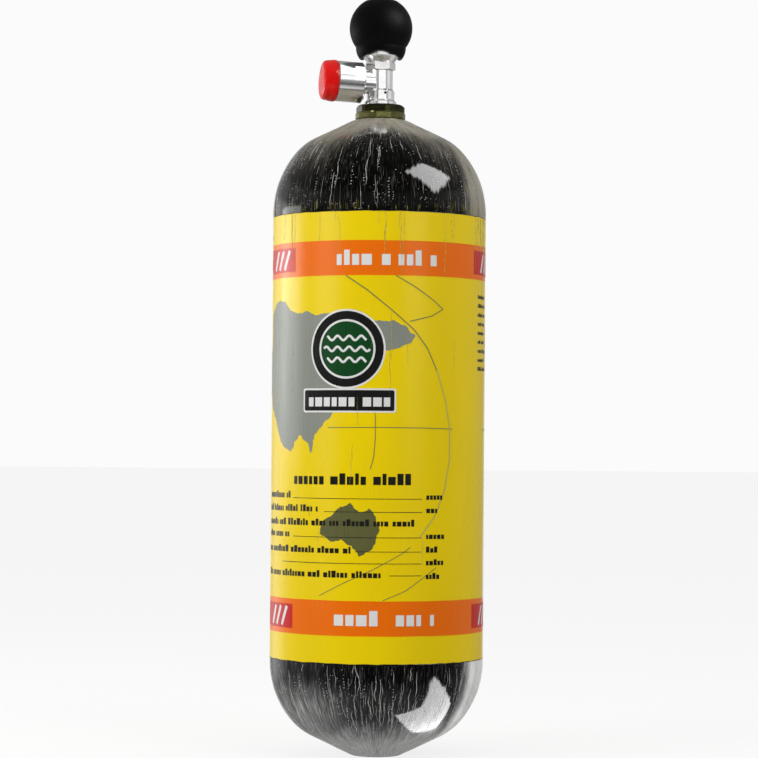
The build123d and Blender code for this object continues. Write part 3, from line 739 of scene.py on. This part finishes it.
# Invented outlines. Each corner is a place on the sleeve, (u, z) in millimetres.
FRONT_LAND = [
    (-126, 374), (-112, 383), (-96, 384), (-86, 376), (-66, 375), (-56, 371), (-36, 371),
    (-14, 369), (4, 366), (13, 367), (23, 362), (31, 355), (27, 348), (17, 344),
    (6, 342), (1, 335), (-6, 326), (-14, 318), (-28, 308), (-40, 288), (-52, 276),
    (-60, 257), (-72, 272), (-84, 258), (-96, 262), (-112, 284), (-128, 300), (-139, 330),
]
RIGHT_LAND = [
    (142, 372), (166, 381), (196, 368), (222, 372), (236, 352), (228, 326), (206, 316),
    (196, 296), (184, 278), (174, 292), (162, 312), (148, 330), (138, 350),
]
RIGHT_ISLE = [(150, 226), (172, 232), (186, 220), (192, 200), (178, 182), (158, 186), (146, 204)]
LEFT_ISLE = [(-242, 300), (-226, 308), (-212, 298), (-206, 282), (-220, 270), (-238, 274), (-248, 286)]
FRONT_ISLAND = [
    (-50, 190), (-48, 200), (-38, 206), (-31, 213), (-22, 216), (-14, 208), (-7, 212), (-1, 202),
    (2, 194), (-1, 184), (-8, 176), (-15, 172), (-21, 181), (-30, 186), (-40, 184),
]

land = Ink(0.05)
land.area(coast(FRONT_LAND, 0.13, 1.6))
for outline in (RIGHT_LAND, RIGHT_ISLE, LEFT_ISLE):
    land.area(coast(outline))
land.piece("land", srgb(140, 144, 134))

island = Ink(0.05)
island.area(coast(FRONT_ISLAND, 0.13, 1.6))
island.piece("island", srgb(98, 98, 58))

lines = Ink(0.08)
lines.line([(-43, 278), (0, 278.4), (40, 278.2), (68, 277.6)], 0.8)
lines.line([(-3, 300), (-2.2, 285), (-2.0, 270), (-3.2, 254), (-6, 244)], 0.8)
lines.line([(-28, 403.8), (-10, 392), (10, 376), (30, 359), (42, 344), (51, 326)], 1.1)
lines.line([(14, 403.8), (30, 395), (46, 385), (57, 377)], 1.0)
lines.line([(57, 377), (46, 371), (26, 366)], 1.0)
lines.line([(-50, 139), (-28, 150), (-4, 161), (20, 174), (28, 180)], 0.7)
lines.line([(5, 136), (24, 144), (40, 155), (52, 163)], 0.7)
lines.line([(120, 278), (160, 277), (200, 278), (240, 279)], 0.8)
lines.line([(190, 403.8), (204, 360), (208, 300), (204, 240), (190, 180), (170, 135.5)], 0.8)
lines.line([(-190, 403.8), (-180, 340), (-178, 280), (-184, 210), (-196, 135.5)], 0.8)
lines.piece("map_lines", srgb(140, 134, 70))

pale_lines = Ink(0.08)
pale_lines.line([(51, 326), (60, 302), (65, 278), (65, 252), (60, 227), (50, 205), (36, 188)], 1.2)
pale_lines.piece("pale_lines", srgb(196, 186, 96))

ROWS = (  # bottom, left end and right end
    (219.5, -126, -84),
    (208.5, -128, -52),
    (197.0, -128, 32),
    (187.0, -128, -84),
    (174.5, -130, -22),
    (154.5, -128, 6),
)
RULES = ((-80, 219.5), (-46, 208.6), (-80, 187.6), (-18, 176.0), (-96, 166.2), (10, 156.4))
RULE_END = 38

black = Ink(0.11)
blocks(black, -79, 28, 231.0, 9.4, (3, 6))
for bottom, left, right in ROWS:
    blocks(black, left, right, bottom, 5.6)
for left, height in RULES:
    black.line([(left, height), (RULE_END, height)], 0.5)
for bottom in (219.0, 208.0, 186.6, 175.4, 165.0, 153.6):
    blocks(black, 42, rng.uniform(53, 62), bottom, 5.0)
for row in range(9):
    blocks(black, 106, rng.uniform(124, 134), 388 - row * 7.6, 3.4)
for row in range(9):
    blocks(black, -240, rng.uniform(-190, -168), 250 - row * 10.5, 5.0)
black.piece("black_rows", (0.014, 0.014, 0.010), drift=0.3)

BADGE_U = -27
BADGE_Z = 343

white = Ink(0.11)
for bottom, top in BANDS:
    middle = (bottom + top) / 2
    for left in (-36, 150, -170):
        blocks(white, left, left + 46, middle - 6.0, 12.6, (4, 4))
        blocks(white, left + 52, left + 86, middle - 6.0, 12.6, (3, 3))
white.area(disc(BADGE_U, BADGE_Z, 33))
white.area(rounded(-68, 15, 290.5, 310.5, 2))
white.area(rounded(-272, -176, 318, 384, 4))
white.piece("white", (0.80, 0.80, 0.78), drift=0.04)

red = Ink(0.13)
for bottom, top in BANDS:
    middle = (bottom + top) / 2
    for u in (-131, 97):
        red.bar(u, u + 51, middle - 10, middle + 10)
red.piece("red", (0.62, 0.012, 0.012))

slants = Ink(0.16)
for bottom, top in BANDS:
    middle = (bottom + top) / 2
    for u in (-112, -102, -92, 116, 126, 136):
        slants.line([(u - 4, middle - 8), (u + 4, middle + 8)], 3.4)
slants.piece("slants", (0.80, 0.80, 0.78), drift=0.04)

badge = Ink(0.14)
badge.area(disc(BADGE_U, BADGE_Z, 31.4))
badge.area(rounded(-66.5, 13.5, 292, 309, 1.5))
badge.area(rounded(-270, -178, 320, 382, 3))
badge.piece("badge_black", (0.010, 0.010, 0.010))

rings = Ink(0.17)
rings.area(disc(BADGE_U, BADGE_Z, 24.6))
blocks(rings, -62, 10, 295.5, 10.5, (4, 6))
rings.bar(-262, -186, 366, 374)
rings.piece("badge_white", (0.78, 0.78, 0.76), drift=0.04)

green = Ink(0.20)
green.area(disc(BADGE_U, BADGE_Z, 22.8))
green.piece("badge_green", srgb(14, 70, 30))

wave = Ink(0.23)
for rise, reach in ((-9, 17), (0, 20), (9, 17)):
    level = BADGE_Z + rise
    wave.line([(BADGE_U + i, level + 1.9 * math.sin(i * 0.62)) for i in range(-reach, reach + 1)], 2.0)
wave.piece("badge_waves", (0.78, 0.78, 0.76), drift=0.04)


def drip(points, faces, u, top, length):
    """A hair-thin run of clear resin down the sleeve."""
    steps = max(8, int(length / 2.0))
    seed = rng.random() * 60
    first = len(points)
    for i in range(steps + 1):
        share = i / steps
        sway = noise.noise(Vector((seed, share * length / 14, 0))) * 1.6
        half = 0.22 * math.sin(math.pi * min(1.0, 0.04 + share * 0.93)) ** 0.5
        for across, lift in ((-half, -0.05), (0.0, 0.22), (half, -0.05)):
            points.append(on_label(u + sway + across, top - share * length, lift))
    for i in range(steps):
        for k in range(2):
            a = first + 3 * i + k
            faces.append((a, a + 3, a + 4, a + 1))


def drips():
    """Runs from the sleeve's top edge, and a few that start lower down."""
    points = []
    faces = []
    for _ in range(46):
        u = rng.uniform(-286, 286)
        drip(points, faces, u, label_top / MM, rng.uniform(6, 60))
    for _ in range(26):
        drip(points, faces, rng.uniform(-286, 286), rng.uniform(150, 400), rng.uniform(10, 50))
    look = strand_look("clear_drip", (0.80, 0.70, 0.16), 0.15)
    piece("drips", points, faces, look, "cylinder")


drips()


# ---------------------------------------------------------------- resin at the sleeve's edges and the neck
def lumpy_ring(name, radius, height, section, swing, look, steps=420):
    """A thin bead round the axis, uneven along its length. section and swing are in metres."""
    points = []
    faces = []
    sides = 7
    seed = rng.random() * 50
    for i in range(steps):
        angle = math.tau * i / steps
        lump = 1 + 0.5 * noise.noise(Vector((math.cos(angle) * 14 + seed, math.sin(angle) * 14, 1)))
        rise = swing * noise.noise(Vector((math.cos(angle) * 9 + seed, math.sin(angle) * 9, 4)))
        for k in range(sides):
            turn = math.tau * k / sides
            r = radius + section * lump * math.cos(turn)
            z = height + rise + section * lump * math.sin(turn)
            points.append(Vector((r * math.cos(angle), r * math.sin(angle), z)))
    for i in range(steps):
        for k in range(sides):
            a = i * sides + k
            b = i * sides + (k + 1) % sides
            c = ((i + 1) % steps) * sides
            faces.append((a, c + k, c + (k + 1) % sides, b))
    return piece(name, points, faces, look, "cylinder")


dark_resin = strand_look("edge_resin", (0.03, 0.028, 0.02), 0.2)
lumpy_ring("edge_bead_top", LABEL_RADIUS - 0.0001, label_top, 0.00028, 0.00035, dark_resin)
lumpy_ring("edge_bead_bottom", LABEL_RADIUS - 0.0001, label_bottom, 0.00034, 0.0005, dark_resin)
filler = strand_look("neck_filler", (0.42, 0.41, 0.30), 0.4)
lumpy_ring("neck_bead", 0.0212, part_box("neck_ring")[0].z + 0.0001, 0.0007, 0.0003, filler, steps=180)


# ---------------------------------------------------------------- floor
def floor():
    """A pale floor. The world's lower half stands for it in reflections and bounced light."""
    look = Look("floor_paper")
    fine = look.noise(look.stretch(6, 6, 6), detail=4)
    base = look.mix(look.span(fine, 0.3, 0.7), (0.19, 0.19, 0.19), (0.17, 0.17, 0.17))
    normal = look.bump(fine, 0.05, 0.2)
    material = look.done(
        Base_Color=base,
        Roughness=0.9,
        Specular_IOR_Level=0.0,
        Normal=normal,
        Emission_Color=(1.0, 1.0, 1.0, 1.0),
        Emission_Strength=0.79,
    )
    mesh = bpy.data.meshes.new("floor")
    size = 30  # metres, so that its edge is far behind the object
    corners = [(-size, -size, 0), (size, -size, 0), (size, size, 0), (-size, size, 0)]
    mesh.from_pydata(corners, [], [(0, 1, 2, 3)])
    mesh.materials.append(material)
    obj = bpy.data.objects.new("floor", mesh)
    bpy.context.scene.collection.objects.link(obj)
    obj.visible_diffuse = False
    obj.visible_glossy = False


floor()


# ---------------------------------------------------------------- light
WHITE = 0.965  # what the camera sees behind the object
WORLD_FRONT = 0.045  # the rest are what each side of the world gives as light
WORLD_BACK = 0.28
WORLD_BEHIND = 1.0
WORLD_LEFT = 1.3
WORLD_BELOW = 0.7
WORLD_BAND = 0.55


def world():
    """White all round to the eye. It lights the object most from behind its left, least from the front."""
    made = bpy.data.worlds.new("studio")
    bpy.context.scene.world = made
    made.use_nodes = True
    tree = made.node_tree

    def add(kind, inputs, **settings):
        node = tree.nodes.new(kind)
        for key, value in settings.items():
            setattr(node, key, value)
        for key, value in inputs.items():
            if isinstance(value, bpy.types.NodeSocket):
                tree.links.new(value, node.inputs[key])
            else:
                node.inputs[key].default_value = value
        return node

    def ramp(value, low, high, to_low, to_high):
        inputs = {0: value, 1: low, 2: high, 3: to_low, 4: to_high}
        return add("ShaderNodeMapRange", inputs, interpolation_type="SMOOTHSTEP").outputs["Result"]

    def calc(operation, first, second):
        return add("ShaderNodeMath", {0: first, 1: second}, operation=operation).outputs[0]

    place = tree.nodes.new("ShaderNodeTexCoord").outputs["Generated"]
    split = add("ShaderNodeSeparateXYZ", {0: place}).outputs
    x, y, z = split["X"], split["Y"], split["Z"]
    behind = ramp(y, 0.90, 0.975, 0.0, WORLD_BEHIND)
    left = calc("MULTIPLY", ramp(x, -0.30, -0.62, 0.0, WORLD_LEFT), ramp(y, 0.25, 0.6, 0.0, 1.0))
    low = calc("MULTIPLY", ramp(z, -0.28, -0.12, 0.15, 1.0), ramp(z, 0.24, 0.10, 0.15, 1.0))
    left = calc("MULTIPLY", left, low)
    below = ramp(z, -0.3, -0.7, 0.0, WORLD_BELOW)
    around = ramp(y, -0.6, 0.5, WORLD_FRONT, WORLD_BACK)
    band = calc("MULTIPLY", ramp(z, 0.08, 0.12, 0.0, WORLD_BAND), ramp(z, 0.42, 0.30, 0.0, 1.0))
    band = calc("MULTIPLY", band, ramp(y, -0.7, 0.1, 0.35, 1.0))
    strength = calc("MAXIMUM", calc("MAXIMUM", behind, left), calc("MAXIMUM", below, around))
    strength = calc("MAXIMUM", strength, band)
    seen = tree.nodes.new("ShaderNodeLightPath").outputs["Is Camera Ray"]
    strength = ramp(seen, 0.0, 1.0, strength, WHITE)
    tree.links.new(strength, tree.nodes["Background"].inputs["Strength"])
    tree.nodes["Background"].inputs["Color"].default_value = (1.0, 1.0, 1.0, 1.0)


world()


def only_on(light, pieces):
    """Keeps a light to some pieces."""
    lit = bpy.data.collections.new(light.name + "_lights")
    for obj in pieces:
        lit.objects.link(obj)
    light.light_linking.receiver_collection = lit


def panel(name, place, target, width, height, radiance, glossy=True, only=()):
    """A soft panel that faces its target. Its power goes with its area, so radiance is its own brightness."""
    data = bpy.data.lights.new(name, "AREA")
    data.shape = "RECTANGLE"
    data.size = width
    data.size_y = height
    data.energy = radiance * math.pi * width * height
    obj = bpy.data.objects.new(name, data)
    bpy.context.scene.collection.objects.link(obj)
    obj.location = place
    obj.rotation_euler = (Vector(target) - Vector(place)).to_track_quat("-Z", "Y").to_euler()
    obj.visible_camera = False
    obj.visible_glossy = glossy
    if only:
        only_on(obj, only)


def overhead(strength):
    """Very soft light from straight above."""
    data = bpy.data.lights.new("overhead", "SUN")
    data.energy = strength
    data.angle = math.radians(100)
    obj = bpy.data.objects.new("overhead", data)
    bpy.context.scene.collection.objects.link(obj)
    obj.visible_glossy = False


CENTRE = (0.0, 0.0, 0.30)
VALVE_CENTRE = (0.0, 0.0, 0.58)
VALVE = [nodes[name] for name in ("valve_body", "bonnet_nut", "bonnet_washer")]
RING = [nodes["neck_ring"]]
overhead(1.5)
panel("left_wall", (-1.35, 0.45, 0.46), (0, 0, 0.40), 0.9, 0.34, 4.0)
panel("front_left", (-1.75, -1.15, 0.85), CENTRE, 1.0, 1.3, 6.4, glossy=False)
panel("front_right", (1.3, -1.6, 0.85), CENTRE, 0.9, 1.1, 5.2, glossy=False)
panel("dome_right", (1.3, -0.55, 0.25), (0, 0, 0.20), 0.9, 0.6, 4.5, glossy=False, only=[skin])
panel("dome_left", (-1.2, -0.75, 0.16), (0, 0, 0.06), 0.9, 0.3, 5.0, glossy=False, only=[skin])
panel("valve_front", (0.25, -0.90, 0.86), VALVE_CENTRE, 1.30, 0.45, 1.0, only=VALVE + RING)
panel("valve_low", (0.25, -0.90, 0.50), VALVE_CENTRE, 1.30, 0.24, 0.16, only=VALVE)
panel("valve_left", (-0.76, -0.47, 0.86), VALVE_CENTRE, 1.00, 0.42, 0.45, only=VALVE + RING)
panel("valve_right", (0.87, -0.185, 0.84), VALVE_CENTRE, 0.60, 0.42, 0.30, only=VALVE)
panel("valve_top", (0.1, -0.5, 1.75), VALVE_CENTRE, 1.8, 1.6, 1.5, only=VALVE)


def window(name, corners, radiance, only=()):
    """A bright sheet that shows only as a reflection."""
    mesh = bpy.data.meshes.new(name)
    mesh.from_pydata(corners, [], [tuple(range(len(corners)))])
    look = Look(name)
    black = (0.0, 0.0, 0.0, 1.0)
    glow = (1.0, 1.0, 1.0, 1.0)
    mesh.materials.append(look.done(Base_Color=black, Emission_Color=glow, Emission_Strength=radiance))
    obj = bpy.data.objects.new(name, mesh)
    bpy.context.scene.collection.objects.link(obj)
    obj.visible_camera = False
    obj.visible_diffuse = False
    obj.visible_shadow = False
    obj.visible_transmission = False
    if only:
        only_on(obj, only)


HIGH_SHEET = [(0.65, -0.94, 1.55), (0.90, -0.41, 1.68), (1.34, 0.03, 1.25), (1.33, -0.70, 0.94)]
HIGH_RADIANCE = 15
LOW_SHEET = [(326, -198), (130, -29), (62, -32), (40, -50), (28, -94), (75, -91), (115, -108), (194, -151)]
LOW_SHEET_HEIGHT = 3  # millimetres, as are the corners above
LOW_RADIANCE = 17
window("window_high", HIGH_SHEET, HIGH_RADIANCE)
low_corners = [(x * MM, y * MM, LOW_SHEET_HEIGHT * MM) for x, y in LOW_SHEET]
window("window_low", low_corners, LOW_RADIANCE, only=[skin])


# ---------------------------------------------------------------- camera
CAMERA_PLACE = (0.0006, -2.33, 0.262)
CAMERA_LENS = 129.25  # millimetres, on a sensor 36 wide
CAMERA_PITCH = 1.4386  # degrees above level
CAMERA_ROLL = 0.45


def camera():
    """The photograph's point of view."""
    data = bpy.data.cameras.new("camera")
    data.sensor_width = 36
    data.lens = CAMERA_LENS
    data.clip_start = 0.05
    data.clip_end = 100
    obj = bpy.data.objects.new("camera", data)
    bpy.context.scene.collection.objects.link(obj)
    bpy.context.scene.camera = obj
    pitch = math.radians(90 + CAMERA_PITCH)
    roll = math.radians(CAMERA_ROLL)
    turn = Matrix.Rotation(pitch, 4, "X") @ Matrix.Rotation(roll, 4, "Z")
    obj.matrix_world = Matrix.Translation(CAMERA_PLACE) @ turn


camera()

bpy.context.scene.view_settings.view_transform = "Standard"
